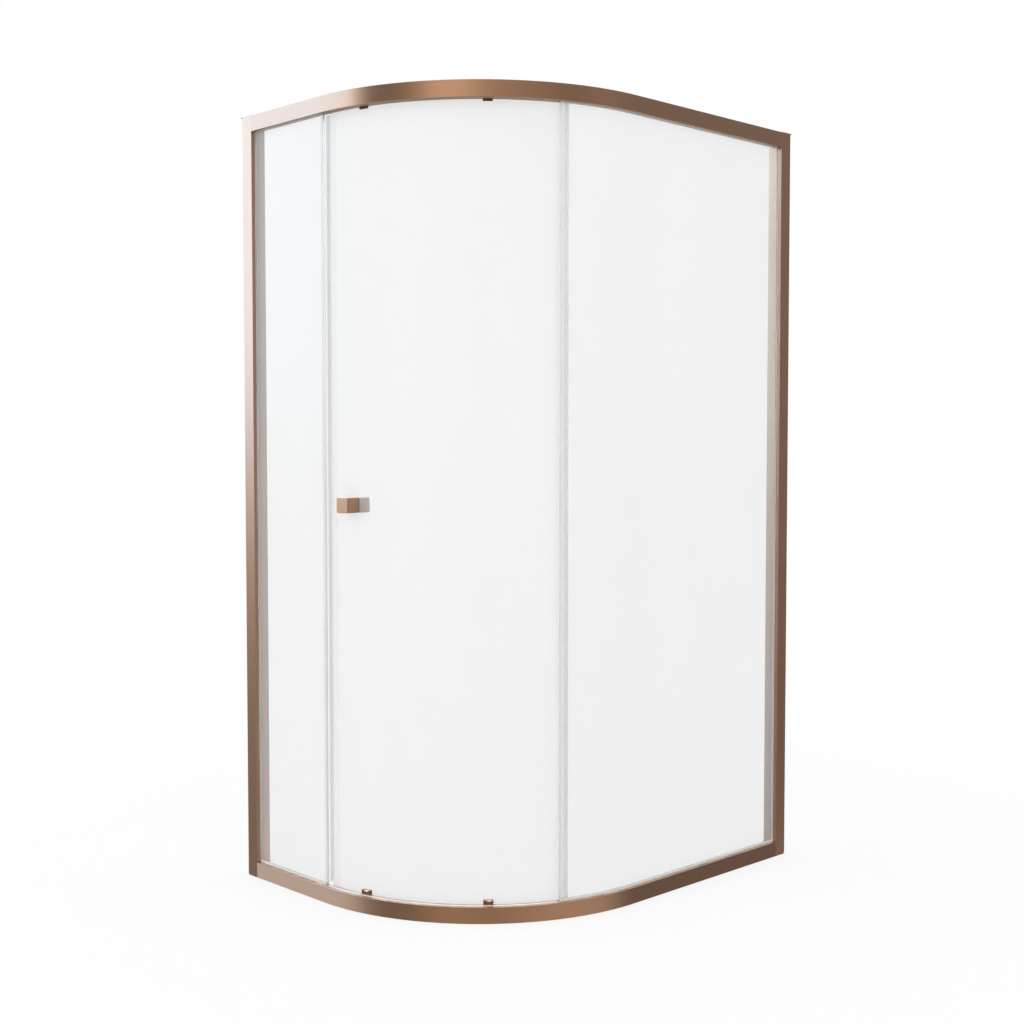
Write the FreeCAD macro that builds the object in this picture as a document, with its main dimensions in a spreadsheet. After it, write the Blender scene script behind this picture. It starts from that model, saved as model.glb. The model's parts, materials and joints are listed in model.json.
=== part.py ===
"""Offset quadrant shower enclosure: two fixed glass panels, one curved sliding door, brushed metal frame.

Plan coordinates used below: x runs along the long front panel towards the side wall, y runs towards the back
wall, and the virtual corner of the two outer faces is (0, 0).  "Inward" is the depth behind the outer face.
On the bent corner, an angle of 0 is where the left panel ends and 90 is where the front panel starts.
"""

import FreeCAD, Part
import math
import os

import Sketcher

DRIVING_SIZES = (
    # overall
    ("frame_width", 1200.0, "outer face of the left panel to the side wall"),
    ("frame_depth", 890.0, "outer face of the front panel to the back wall"),
    ("frame_height", 2000.0, "floor to the top of the rails and posts"),
    ("corner_radius", 548.0, "outer face of the bent corner"),
    # rails
    ("rail_height", 40.0, "visible face of both rails"),
    ("rail_depth", 25.0, "outer face to the inner edge of the rails"),
    ("profile_wall", 2.0, "outer wall of the extrusions"),
    ("web_wall", 1.8, "thin webs of the extrusions"),
    ("groove_depth_top", 24.0, "glazing groove of the top rail"),
    ("groove_depth_bottom", 22.0, "glazing groove of the bottom rail"),
    ("port_radius", 2.0, "screw ports in the rails"),
    ("port_inset", 5.4, "screw port centre from the rail's faces"),
    ("chamber_margin", 10.0, "rail chamber from the rail's top and bottom"),
    # door track
    ("track_setback", 22.5, "outer face to the middle of the track bead"),
    ("bead_height", 2.4, "track bead above its flange"),
    ("bead_base", 2.0, "track bead width at the flange"),
    ("bead_tip", 1.2, "track bead width at the tip"),
    # posts and wall channels
    ("post_width", 38.0, "visible face of the posts"),
    ("post_depth", 43.0, "outer face to the inner face of the posts"),
    ("post_wall_gap", 10.0, "post to wall, taken up by the wall channel"),
    ("post_groove_depth", 16.0, "glazing groove of the posts"),
    ("guide_rib_width", 10.0, "ribs that guide the post on the wall channel"),
    ("guide_rib_height", 3.3, "ribs that guide the post on the wall channel"),
    ("channel_leg", 25.0, "leg of the wall channel"),
    ("channel_fit", 0.3, "clearance between post rib and wall channel"),
    ("wall_hole_radius", 2.75, "holes for the wall screws"),
    ("wall_hole_end", 150.0, "outer wall screws from the ends"),
    ("cap_thickness", 1.2, "plate of the post caps"),
    ("cap_peg", 10.0, "peg under the post caps"),
    # glass
    ("glass_setback", 12.0, "outer face to the fixed glass"),
    ("glass_thickness", 5.0, "all panes"),
    ("door_setback", 28.8, "outer face to the door glass"),
    ("groove_side_gap", 1.2, "glazing groove wall to the glass"),
    ("gasket_wall", 1.0, "glazing gasket"),
    ("gasket_lip", 5.0, "bottom gasket above the rail"),
    ("seating_gap", 0.1, "clearance round seated soft pieces"),
    ("fixed_edge_angle", 67.1, "leading edge of the bent fixed glass"),
    ("left_edge_gap", 2.0, "left fixed glass to the start of the corner"),
    # door
    ("door_start_angle", 0.25, "leading edge of the door glass"),
    ("door_end_angle", 70.1, "trailing edge of the door glass"),
    ("door_bottom", 12.0, "door glass above the floor"),
    ("door_top_drop", 10.0, "door glass below the top of the frame"),
    ("left_unit_angle", 13.6, "left roller units"),
    ("right_unit_angle", 48.2, "right roller units"),
    ("knob_angle", 8.75, "door knobs"),
    ("knob_height", 1000.0, "door knobs above the floor"),
    ("knob_size", 38.0, "square face of the knobs"),
    ("knob_reach", 36.5, "depth of one knob"),
    ("knob_corner", 5.0, "corner radius of the knobs"),
    ("knob_edge", 1.5, "rounded rim of the knobs' faces"),
    ("knob_bolt_radius", 3.0, "bolt through the glass"),
    ("knob_washer", 0.8, "soft washers between knob and glass"),
    # rollers
    ("wheel_radius", 10.0, "rim of the roller wheels"),
    ("wheel_width", 4.0, "roller wheels"),
    ("rolling_radius", 8.0, "bottom of the wheels' groove"),
    ("wheel_play", 0.1, "wheel groove to bead tip"),
    ("axle_radius", 2.5, "roller axles"),
    ("axle_fit", 0.05, "running clearance of the wheels"),
    ("axle_head_radius", 3.6, "roller axle heads"),
    ("axle_head", 1.0, "roller axle heads"),
    ("carrier_width", 23.7, "top carriers along the track"),
    ("unit_width", 24.4, "bottom housings along the track"),
    ("unit_gap", 0.5, "roller units to the rails"),
    ("carrier_rise", 11.7, "top carrier above its axle"),
    ("foot_drop", 4.1, "anti-jump foot below the top rail"),
    ("foot_height", 3.1, "anti-jump foot"),
    ("foot_depth", 2.0, "anti-jump foot, outwards from the carrier"),
    ("glass_hole_radius", 6.5, "holes in the door glass"),
    ("nut_radius", 8.5, "clamping nuts inside the door"),
    ("nut_height", 4.5, "clamping nuts inside the door"),
    ("nut_gap", 0.3, "clamping nuts to the hollow side of the glass"),
    # quick-release housings
    ("housing_height", 10.4, "housing above the bottom rail"),
    ("housing_lift", 0.6, "housing clear of the rail"),
    ("housing_depth", 9.8, "housing, outwards from the glass"),
    ("housing_wall", 1.5, "front wall of the housing"),
    ("cheek_width", 2.8, "side cheeks of the housing"),
    ("back_plate", 1.2, "back plate of the housing"),
    ("bay_floor", 1.4, "floor under the button"),
    ("button_stroke", 3.5, "press-down travel"),
    ("button_height", 4.6, "button head"),
    ("button_fit", 0.4, "button to its bay, each side"),
    ("slider_thickness", 1.7, "slider plate behind the rail"),
    ("slider_foot", 9.5, "slider plate below the axle"),
    ("scoop_radius", 12.0, "dished finger scoop of the button"),
    ("scoop_offset", 5.0, "centre of the scoop in front of the button"),
    ("scoop_depth", 3.2, "finger scoop at the button's front"),
    ("window_radius", 10.5, "cut-out in the housing's front wall"),
    ("window_depth", 5.5, "cut-out in the housing's front wall"),
    ("boss_height", 30.0, "clamping boss above the floor"),
    ("boss_radius", 5.0, "clamping boss through the glass"),
    ("spring_radius", 1.4, "release spring, to the middle of its wire"),
    ("spring_wire", 0.2, "release spring, wire radius"),
    ("spring_recess", 0.8, "spring seat in the button"),
    # seals
    ("seal_wall", 1.0, "walls of the edge seals"),
    ("magnet_width", 5.0, "magnetic strips"),
    ("magnet_height", 3.8, "magnetic strips"),
    ("magnet_leg", 9.5, "legs of the seal on the fixed glass"),
    ("door_magnet_leg", 22.0, "legs of the seal on the door's leading edge"),
    ("edge_leg", 8.0, "legs of the edge seals"),
    ("fin_gap", 0.4, "seal fins to the glass that they brush"),
    ("seal_meeting_gap", 0.5, "between the two magnetic seals"),
    ("seal_rail_gap", 0.5, "seals to the rails and gaskets"),
    ("fin_notch", 9.0, "fin cut back where the roller units pass"),
    # fixings
    ("screw_radius", 1.95, "frame screws"),
    ("screw_hole_radius", 2.1, "clearance holes for the frame screws"),
    ("screw_head_radius", 3.1, "frame screw heads"),
    ("screw_head", 2.2, "frame screw heads"),
    ("rail_screw_length", 22.0, "rail screws beyond the post"),
    ("post_screw_end", 250.0, "outer post screws from the ends"),
    ("cover_radius", 5.5, "covers over the post screws"),
    ("cover_height", 3.4, "covers over the post screws"),
    ("cover_wall", 0.8, "covers over the post screws"),
    ("stop_length", 14.0, "door stops along the track"),
    ("stop_height", 16.0, "door stops"),
    ("stop_screw_radius", 1.5, "clamping screws of the door stops"),
    ("door_travel", 41.0, "turn of the door about the corner's centre"),
)

doc = FreeCAD.newDocument("QuadrantEnclosure")
sheet = doc.addObject("Spreadsheet::Sheet", "Sizes")


# ---------------------------------------------------------------- sizes with their expressions
class Size:
    """A size in two forms: the sheet expression that drives it, and its value at this moment."""

    def __init__(self, text, value):
        self.text = text
        self.value = value

    def __add__(self, other):
        other = as_size(other)
        return Size(f"({self.text} + {other.text})", self.value + other.value)

    def __sub__(self, other):
        other = as_size(other)
        return Size(f"({self.text} - {other.text})", self.value - other.value)

    def __rsub__(self, other):
        return as_size(other) - self

    def __radd__(self, other):
        return as_size(other) + self

    def __mul__(self, other):
        other = as_size(other)
        return Size(f"({self.text} * {other.text})", self.value * other.value)

    def __rmul__(self, other):
        return as_size(other) * self

    def __truediv__(self, other):
        other = as_size(other)
        return Size(f"({self.text} / {other.text})", self.value / other.value)

    def __neg__(self):
        return Size(f"(-1 * {self.text})", -self.value)


def as_size(number):
    """Plain numbers become sizes, so that both can be mixed in one sum."""
    return number if isinstance(number, Size) else Size(repr(float(number)), float(number))


def fill_sheet():
    """Writes every driving size into the sheet and returns them by name."""
    sizes = {}
    for row, (name, value, meaning) in enumerate(DRIVING_SIZES, start=1):
        sheet.set(f"A{row}", str(value))
        sheet.setAlias(f"A{row}", name)
        sheet.set(f"B{row}", meaning)
        sizes[name] = Size(f"Sizes.{name}", value)
    doc.recompute()
    return sizes


class Named:
    """The driving sizes as attributes: S.frame_width and so on."""

    def __init__(self, sizes):
        self.__dict__.update(sizes)


S = Named(fill_sheet())


# ---------------------------------------------------------------- derived places
rail_top_bottom = S.frame_height - S.rail_height
groove_start = S.glass_setback - S.groove_side_gap
groove_end = S.glass_setback + S.glass_thickness + S.groove_side_gap
middle_wall_end = groove_end + S.web_wall
groove_outer_wall = groove_start - S.web_wall
glass_bottom = S.rail_height - S.groove_depth_bottom + S.gasket_wall + 2 * S.seating_gap
glass_top = rail_top_bottom + S.groove_depth_top - S.gasket_wall - 2 * S.seating_gap

post_front = S.post_wall_gap + S.post_width
post_groove_floor = post_front - S.post_groove_depth
glass_in_post = post_groove_floor + S.gasket_wall + 2 * S.seating_gap
channel_outer = S.profile_wall + S.guide_rib_height + S.channel_fit
channel_inner = S.post_depth - channel_outer

left_straight = S.frame_depth - post_front - S.corner_radius
front_straight = S.frame_width - post_front - S.corner_radius

door_outer = S.corner_radius - S.door_setback
door_inner = door_outer - S.glass_thickness
fixed_outer = S.corner_radius - S.glass_setback
fixed_inner = fixed_outer - S.glass_thickness
rail_inner = S.corner_radius - S.rail_depth
door_glass_top = S.frame_height - S.door_top_drop

wheel_middle = S.corner_radius - S.track_setback
wheel_face = wheel_middle + S.wheel_width / 2
wheel_back = wheel_middle - S.wheel_width / 2
top_axle_height = rail_top_bottom + S.web_wall + S.bead_height + S.rolling_radius + S.wheel_play
bottom_axle_height = S.rail_height - S.web_wall - S.bead_height - S.rolling_radius - S.wheel_play

housing_bottom = S.rail_height + S.housing_lift
housing_top = housing_bottom + S.housing_height
housing_face = door_outer + S.housing_depth
unit_face = rail_inner - S.unit_gap
plate_back = door_outer + S.seating_gap
bay_face = housing_face - S.housing_wall
bay_half = S.unit_width / 2 - S.cheek_width
button_half = bay_half - S.button_fit
bay_floor_top = housing_bottom + S.bay_floor
button_bottom = bay_floor_top + S.button_stroke + S.button_fit
button_top = button_bottom + S.button_height
slider_back = plate_back + S.back_plate + S.unit_gap / 2
slider_face = slider_back + S.slider_thickness
housing_foot = S.door_bottom + 4 * S.seal_wall


# ---------------------------------------------------------------- modelling helpers
def bind(thing, prop, size):
    """Drives one property of an object with a size."""
    thing.setExpression(prop, as_size(size).text)


def new_body(name):
    """A sub-part whose own axes are those of the whole object, with (0, 0) at the outer faces' corner."""
    body = doc.addObject("PartDesign::Body", name)
    body.Label = name
    bind(body, "Placement.Base.x", -S.frame_width / 2)
    bind(body, "Placement.Base.y", -S.frame_depth / 2)
    return body


def new_corner_body(name, angle=None, height=0):
    """A sub-part centred on the corner's own axis. With an angle, its x axis points outwards there."""
    body = doc.addObject("PartDesign::Body", name)
    body.Label = name
    bind(body, "Placement.Base.x", S.corner_radius - S.frame_width / 2)
    bind(body, "Placement.Base.y", S.corner_radius - S.frame_depth / 2)
    bind(body, "Placement.Base.z", height)
    if angle is not None:
        body.Placement.Rotation = FreeCAD.Rotation(FreeCAD.Vector(0, 0, 1), 1)
        bind(body, "Placement.Rotation.Angle", 180 + angle)
    return body


def new_sketch(body, name, plane, offset=0):
    """An empty sketch on one of the body's own planes, moved along the plane's normal."""
    sketch = body.newObject("Sketcher::SketchObject", f"{body.Name}_{name}")
    support = [f for f in body.Origin.OriginFeatures if f.Role == plane][0]
    sketch.AttachmentSupport = [(support, "")]
    sketch.MapMode = "FlatFace"
    bind(sketch, "AttachmentOffset.Base.z", offset)
    return sketch


def add_outline(sketch, corners):
    """A closed outline of straight lines whose corners are all driven by sizes."""
    points = [(as_size(x), as_size(y)) for x, y in corners]
    first = sketch.GeometryCount
    count = len(points)
    for i, (x, y) in enumerate(points):
        end_x, end_y = points[(i + 1) % count]
        start = FreeCAD.Vector(x.value, y.value, 0)
        end = FreeCAD.Vector(end_x.value, end_y.value, 0)
        sketch.addGeometry(Part.LineSegment(start, end))
    for i, (x, y) in enumerate(points):
        line, following = first + i, first + (i + 1) % count
        sketch.addConstraint(Sketcher.Constraint("Coincident", line, 2, following, 1))
        for kind, size in (("DistanceX", x), ("DistanceY", y)):
            place = sketch.addConstraint(Sketcher.Constraint(kind, -1, 1, line, 1, size.value))
            bind(sketch, f"Constraints[{place}]", size)


def add_circle(sketch, x, y, radius):
    """A circle driven by its centre and radius."""
    x, y, radius = as_size(x), as_size(y), as_size(radius)
    centre = FreeCAD.Vector(x.value, y.value, 0)
    circle = sketch.addGeometry(Part.Circle(centre, FreeCAD.Vector(0, 0, 1), radius.value))
    for kind, size in (("DistanceX", x), ("DistanceY", y)):
        place = sketch.addConstraint(Sketcher.Constraint(kind, -1, 1, circle, 3, size.value))
        bind(sketch, f"Constraints[{place}]", size)
    place = sketch.addConstraint(Sketcher.Constraint("Radius", circle, radius.value))
    bind(sketch, f"Constraints[{place}]", radius)


def pad(body, sketch, length, reverse=False, middle=False):
    """Extrudes a sketch."""
    feature = body.newObject("PartDesign::Pad", f"{sketch.Name}_pad")
    feature.Profile = sketch
    feature.Reversed = reverse
    feature.Midplane = middle
    bind(feature, "Length", length)
    sketch.Visibility = False
    return feature


def pocket(body, sketch, length=None, reverse=False, middle=False):
    """Cuts a sketch into the body, through everything when no length is given."""
    feature = body.newObject("PartDesign::Pocket", f"{sketch.Name}_pocket")
    feature.Profile = sketch
    feature.Reversed = reverse
    feature.Midplane = middle
    if length is None:
        feature.Type = "ThroughAll"
    else:
        bind(feature, "Length", length)
    return feature


def revolve(body, sketch, axis, angle, reverse=False):
    """Turns a sketch about one of its own axes."""
    feature = body.newObject("PartDesign::Revolution", f"{sketch.Name}_turn")
    feature.Profile = sketch
    feature.ReferenceAxis = (sketch, [axis])
    feature.Reversed = reverse
    bind(feature, "Angle", angle)
    return feature


def radial_hole(body, name, height, radius, angle=0):
    """A round hole through the body along the radius at the given angle from its x axis."""
    sketch = new_sketch(body, name, "YZ_Plane")
    sketch.AttachmentOffset = FreeCAD.Placement(
        FreeCAD.Vector(0, 0, 0), FreeCAD.Rotation(FreeCAD.Vector(0, 1, 0), 1)
    )
    bind(sketch, "AttachmentOffset.Rotation.Angle", angle)
    add_circle(sketch, 0, height, radius)
    return pocket(body, sketch, 4 * S.corner_radius, middle=True)


def turned(name, angle, height, profile):
    """A turned piece whose axis is the radius at the given angle; profile is (inward depth, radius)."""
    body = new_corner_body(name, angle, height)
    sketch = new_sketch(body, "profile", "XZ_Plane")
    add_outline(sketch, [(S.corner_radius - depth, radius) for depth, radius in profile])
    revolve(body, sketch, "H_Axis", 360)
    return body


def group(name, pieces):
    """Identical fasteners as one sub-part of separate solids."""
    compound = doc.addObject("Part::Compound", name)
    compound.Label = name
    compound.Links = pieces
    return compound


# ---------------------------------------------------------------- the two sides of the enclosure
def on_left(along, inward):
    """Plan point of the left panel from its distance to the back wall and its depth."""
    return inward, S.frame_depth - along


def on_right(along, inward):
    """Plan point of the front panel from its distance to the side wall and its depth."""
    return S.frame_width - along, inward


SIDES = (("left", on_left), ("right", on_right))


def extruded(name, outline, bottom, length, side=None):
    """A straight extrusion standing on its plan outline."""
    body = new_body(name)
    sketch = new_sketch(body, "section", "XY_Plane", bottom)
    add_outline(sketch, [side(a, d) if side else (a, d) for a, d in outline])
    pad(body, sketch, length)
    return body


def drill_from_wall(body, name, side, height, radius):
    """A hole through the wall channel's web, square to the wall."""
    plane = "XZ_Plane" if side is on_left else "YZ_Plane"
    sketch = new_sketch(body, name, plane)
    add_circle(sketch, S.post_depth / 2, height, radius)
    return pocket(body, sketch, 4 * S.frame_width, middle=True)


def drill_from_inside(body, name, side, height, radius):
    """A hole through the side wall of a post or channel, from inside the enclosure."""
    plane = "YZ_Plane" if side is on_left else "XZ_Plane"
    along = S.post_wall_gap + S.guide_rib_width / 2
    across = S.frame_depth - along if side is on_left else S.frame_width - along
    sketch = new_sketch(body, name, plane, inside_offset(side))
    add_circle(sketch, across, height, radius)
    return pocket(body, sketch, S.post_depth, middle=True)


def inside_offset(side):
    """Sketch offset that puts a plane at the inner face of the posts."""
    return S.post_depth if side is on_left else -S.post_depth


WALL_HOLE_HEIGHTS = [
    S.wall_hole_end,
    S.wall_hole_end + (S.frame_height - 2 * S.wall_hole_end) / 3,
    S.frame_height - S.wall_hole_end - (S.frame_height - 2 * S.wall_hole_end) / 3,
    S.frame_height - S.wall_hole_end,
]
POST_SCREW_HEIGHTS = [
    S.post_screw_end,
    S.frame_height / 2,
    S.frame_height - S.post_screw_end,
]


def make_wall_channel(name, side):
    """U-channel: its web lies on the wall, its legs reach into the post."""
    leg_wall = S.web_wall
    body = extruded(
        f"{name}_wall_channel",
        [
            (0, channel_outer),
            (S.channel_leg, channel_outer),
            (S.channel_leg, channel_outer + leg_wall),
            (S.profile_wall, channel_outer + leg_wall),
            (S.profile_wall, channel_inner - leg_wall),
            (S.channel_leg, channel_inner - leg_wall),
            (S.channel_leg, channel_inner),
            (0, channel_inner),
        ],
        0,
        S.frame_height,
        side,
    )
    for i, height in enumerate(WALL_HOLE_HEIGHTS):
        drill_from_wall(body, f"wall_hole_{i}", side, height, S.wall_hole_radius)
    for i, height in enumerate(POST_SCREW_HEIGHTS):
        drill_from_inside(body, f"screw_hole_{i}", side, height, S.screw_hole_radius)
    return body


def make_post(name, side):
    """Wall post: outer shell, guide ribs for the wall channel and a glazing groove facing the panel."""
    shell = S.profile_wall
    rib = shell + S.guide_rib_height
    rib_end = S.post_wall_gap + S.guide_rib_width
    outer_groove = groove_start - shell
    inner_groove = groove_end + shell
    floor_back = post_groove_floor - shell
    front_web = post_front - shell
    body = extruded(
        f"{name}_post",
        [
            (S.post_wall_gap, 0),
            (post_front, 0),
            (post_front, groove_start),
            (post_groove_floor, groove_start),
            (post_groove_floor, groove_end),
            (post_front, groove_end),
            (post_front, S.post_depth),
            (S.post_wall_gap, S.post_depth),
            (S.post_wall_gap, S.post_depth - rib),
            (rib_end, S.post_depth - rib),
            (rib_end, S.post_depth - shell),
            (front_web, S.post_depth - shell),
            (front_web, inner_groove),
            (floor_back, inner_groove),
            (floor_back, outer_groove),
            (front_web, outer_groove),
            (front_web, shell),
            (rib_end, shell),
            (rib_end, rib),
            (S.post_wall_gap, rib),
        ],
        0,
        S.frame_height,
        side,
    )
    for i, height in enumerate(POST_SCREW_HEIGHTS):
        drill_from_inside(body, f"screw_hole_{i}", side, height, S.screw_hole_radius)
    plane = "XZ_Plane" if side is on_left else "YZ_Plane"
    offset = (S.frame_depth - front_web) * -1 if side is on_left else S.frame_width - front_web
    for i, height in enumerate(PORT_HEIGHTS):
        sketch = new_sketch(body, f"rail_screw_hole_{i}", plane, offset)
        add_circle(sketch, S.port_inset, height, S.screw_hole_radius)
        pocket(body, sketch, 2 * S.profile_wall + S.web_wall, middle=True)
    return body


def make_post_cap(name, side):
    """Thin cap over the post whose tip reaches back to the wall, with a peg into the post."""
    body = new_body(f"{name}_post_cap")
    plate = new_sketch(body, "plate", "XY_Plane", S.frame_height)
    corners = [(0, 0), (post_front, 0), (post_front, S.post_depth), (0, S.post_depth)]
    add_outline(plate, [side(a, d) for a, d in corners])
    pad(body, plate, S.cap_thickness)
    half = S.cap_peg / 2
    middle = S.post_depth / 2
    start = S.channel_leg - S.cap_peg
    peg = new_sketch(body, "peg", "XY_Plane", S.frame_height - S.cap_peg)
    corners = [
        (start, middle - half),
        (S.channel_leg, middle - half),
        (S.channel_leg, middle + half),
        (start, middle + half),
    ]
    add_outline(peg, [side(a, d) for a, d in corners])
    pad(body, peg, S.cap_peg)
    return body


PORT_HEIGHTS = [
    S.port_inset,
    S.rail_height - S.port_inset,
    rail_top_bottom + S.port_inset,
    S.frame_height - S.port_inset,
]


# ---------------------------------------------------------------- bent rails
def rail_voids(base, upper_start, upper_end):
    """Closed chambers of a rail: behind its face, and behind its glazing groove."""
    low, high = base + S.chamber_margin, base + S.rail_height - S.chamber_margin
    face_chamber = [
        (S.profile_wall, low),
        (groove_outer_wall, low),
        (groove_outer_wall, high),
        (S.profile_wall, high),
    ]
    groove_chamber = [
        (groove_start, upper_start),
        (groove_end, upper_start),
        (groove_end, upper_end),
        (groove_start, upper_end),
    ]
    return face_chamber, groove_chamber


def bent_rail(name, section, voids, base):
    """A rail from its section (inward depth, height): straight, bent round the corner, straight."""
    body = new_corner_body(name)

    def section_sketch(label, plane):
        sketch = new_sketch(body, label, plane)
        for outline in [section, *voids]:
            add_outline(sketch, [(depth - S.corner_radius, height) for depth, height in outline])
        for height in (base + S.port_inset, base + S.rail_height - S.port_inset):
            add_circle(sketch, S.port_inset - S.corner_radius, height, S.port_radius)
        return sketch

    left_section = section_sketch("left_section", "XZ_Plane")
    pad(body, left_section, left_straight, reverse=True)
    revolve(body, left_section, "V_Axis", 90)
    front_section = section_sketch("front_section", "YZ_Plane")
    pad(body, front_section, front_straight)
    return body


def track_bead(flange, tip):
    """The bead that the grooved wheels run on: from its inner foot over the tip to its outer foot."""
    return [
        (S.track_setback + S.bead_base / 2, flange),
        (S.track_setback + S.bead_tip / 2, tip),
        (S.track_setback - S.bead_tip / 2, tip),
        (S.track_setback - S.bead_base / 2, flange),
    ]


def make_top_rail():
    """Top rail: glazing groove opening downwards, and a flange with an upright bead behind it."""
    base, top = rail_top_bottom, S.frame_height
    groove_roof = base + S.groove_depth_top
    flange = base + S.web_wall
    section = [
        (0, base),
        (groove_start, base),
        (groove_start, groove_roof),
        (groove_end, groove_roof),
        (groove_end, base),
        (S.rail_depth, base),
        (S.rail_depth, flange),
        *track_bead(flange, flange + S.bead_height),
        (middle_wall_end, flange),
        (middle_wall_end, top - S.web_wall),
        (S.rail_depth, top - S.web_wall),
        (S.rail_depth, top),
        (0, top),
    ]
    voids = rail_voids(base, groove_roof + S.web_wall, top - S.web_wall)
    return bent_rail("top_rail", section, voids, base)


def make_bottom_rail():
    """Bottom rail: glazing groove opening upwards, and a lip with a hanging bead behind it."""
    top = S.rail_height
    lip = top - S.web_wall
    groove_floor = top - S.groove_depth_bottom
    section = [
        (0, 0),
        (S.rail_depth, 0),
        (S.rail_depth, S.web_wall),
        (middle_wall_end, S.web_wall),
        (middle_wall_end, lip),
        *reversed(track_bead(lip, lip - S.bead_height)),
        (S.rail_depth, lip),
        (S.rail_depth, top),
        (groove_end, top),
        (groove_end, groove_floor),
        (groove_start, groove_floor),
        (groove_start, top),
        (0, top),
    ]
    voids = rail_voids(as_size(0), S.web_wall, groove_floor - S.web_wall)
    return bent_rail("bottom_rail", section, voids, as_size(0))


def make_infill_strip(name, low, high):
    """Strip that closes a rail's glazing groove across the doorway."""
    body = new_corner_body(name)
    sketch = new_sketch(body, "section", "XZ_Plane")
    outer = S.corner_radius - groove_start - S.seating_gap
    inner = S.corner_radius - groove_end + S.seating_gap
    add_outline(sketch, [(-outer, low), (-inner, low), (-inner, high), (-outer, high)])
    revolve(body, sketch, "V_Axis", S.fixed_edge_angle - 0.5)
    return body


# ---------------------------------------------------------------- fixed glass and its gaskets
def bent_panel_piece(name, outline):
    """A piece that follows the bent fixed glass: straight along the front, then round to its edge."""
    body = new_corner_body(name)
    sketch = new_sketch(body, "section", "YZ_Plane")
    add_outline(sketch, [(depth - S.corner_radius, height) for depth, height in outline])
    return body, sketch


def make_left_fixed_glass():
    """Flat pane between the left post and the doorway."""
    inner = S.glass_setback + S.glass_thickness
    edge = S.corner_radius + S.left_edge_gap
    end = S.frame_depth - glass_in_post
    outline = [(S.glass_setback, edge), (inner, edge), (inner, end), (S.glass_setback, end)]
    return extruded("left_fixed_glass", outline, glass_bottom, glass_top - glass_bottom)


def make_right_fixed_glass():
    """Bent pane between the doorway and the right post."""
    inner = S.glass_setback + S.glass_thickness
    outline = [
        (S.glass_setback, glass_bottom),
        (inner, glass_bottom),
        (inner, glass_top),
        (S.glass_setback, glass_top),
    ]
    body, sketch = bent_panel_piece("right_fixed_glass", outline)
    pad(body, sketch, S.frame_width - glass_in_post - S.corner_radius)
    revolve(body, sketch, "V_Axis", 90 - S.fixed_edge_angle, reverse=True)
    return body


def gasket_section(closed_end, open_end):
    """U-section of a glazing gasket, closed at the glass edge; both ends are heights."""
    outer = groove_start + S.seating_gap
    inner = groove_end - S.seating_gap
    rising = 1 if open_end.value > closed_end.value else -1
    floor = closed_end + rising * S.gasket_wall
    return [
        (outer, closed_end),
        (inner, closed_end),
        (inner, open_end),
        (inner - S.gasket_wall, open_end),
        (inner - S.gasket_wall, floor),
        (outer + S.gasket_wall, floor),
        (outer + S.gasket_wall, open_end),
        (outer, open_end),
    ]


def make_rail_gaskets(level, closed_end, open_end):
    """The gaskets of both fixed panes in one rail."""
    section = gasket_section(closed_end, open_end)
    left = new_corner_body(f"left_{level}_gasket")
    edge = S.left_edge_gap + S.magnet_leg / 2
    sketch = new_sketch(left, "section", "XZ_Plane", -edge)
    add_outline(sketch, [(depth - S.corner_radius, height) for depth, height in section])
    pad(left, sketch, left_straight - edge, reverse=True)
    right, sketch = bent_panel_piece(f"right_{level}_gasket", section)
    pad(right, sketch, front_straight)
    revolve(right, sketch, "V_Axis", 90 - S.fixed_edge_angle, reverse=True)
    return [left, right]


def make_post_gasket(name, side):
    """Gasket round the glass edge inside the post's groove."""
    section = gasket_section(post_groove_floor + S.seating_gap, post_front)
    outline = [(along, inward) for inward, along in section]
    return extruded(f"{name}_post_gasket", outline, glass_bottom, glass_top - glass_bottom, side)


# ---------------------------------------------------------------- edge seals
def make_left_magnetic_seal():
    """Clip on the left glass edge with an arm that carries the magnet in front of the door's edge."""
    glass_in, glass_out = S.glass_setback, S.glass_setback + S.glass_thickness
    gap, wall = S.seating_gap, S.seal_wall
    clip_out, clip_in = glass_in - gap - wall, glass_out + gap + wall
    edge = S.corner_radius + S.left_edge_gap
    base = edge - gap - wall
    leg = base + S.magnet_leg
    chamber_out = S.door_setback - gap - wall
    chamber_in = chamber_out + S.magnet_width + 2 * wall + 2 * gap
    meeting = left_meeting_line + S.seal_meeting_gap
    chamber_end = meeting + S.magnet_height + 2 * wall + 2 * gap
    outline = [
        (clip_out, leg),
        (clip_out, base),
        (clip_in, base),
        (clip_in, meeting),
        (chamber_in, meeting),
        (chamber_in, chamber_end),
        (chamber_out, chamber_end),
        (chamber_out, meeting + wall),
        (clip_in, meeting + wall),
        (clip_in, leg),
        (clip_in - wall, leg),
        (clip_in - wall, base + wall),
        (clip_out + wall, base + wall),
        (clip_out + wall, leg),
    ]
    magnet_pocket = [
        (chamber_out + wall, meeting + wall),
        (chamber_in - wall, meeting + wall),
        (chamber_in - wall, chamber_end - wall),
        (chamber_out + wall, chamber_end - wall),
    ]
    body = new_body("left_magnetic_seal")
    sketch = new_sketch(body, "section", "XY_Plane", seal_bottom)
    add_outline(sketch, outline)
    add_outline(sketch, magnet_pocket)
    pad(body, sketch, seal_top - seal_bottom)
    magnet = [
        (chamber_out + wall + gap, meeting + wall + gap),
        (chamber_in - wall - gap, meeting + wall + gap),
        (chamber_in - wall - gap, chamber_end - wall - gap),
        (chamber_out + wall + gap, chamber_end - wall - gap),
    ]
    strip = extruded("left_magnet", magnet, seal_bottom, seal_top - seal_bottom)
    return [body, strip]


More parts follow.
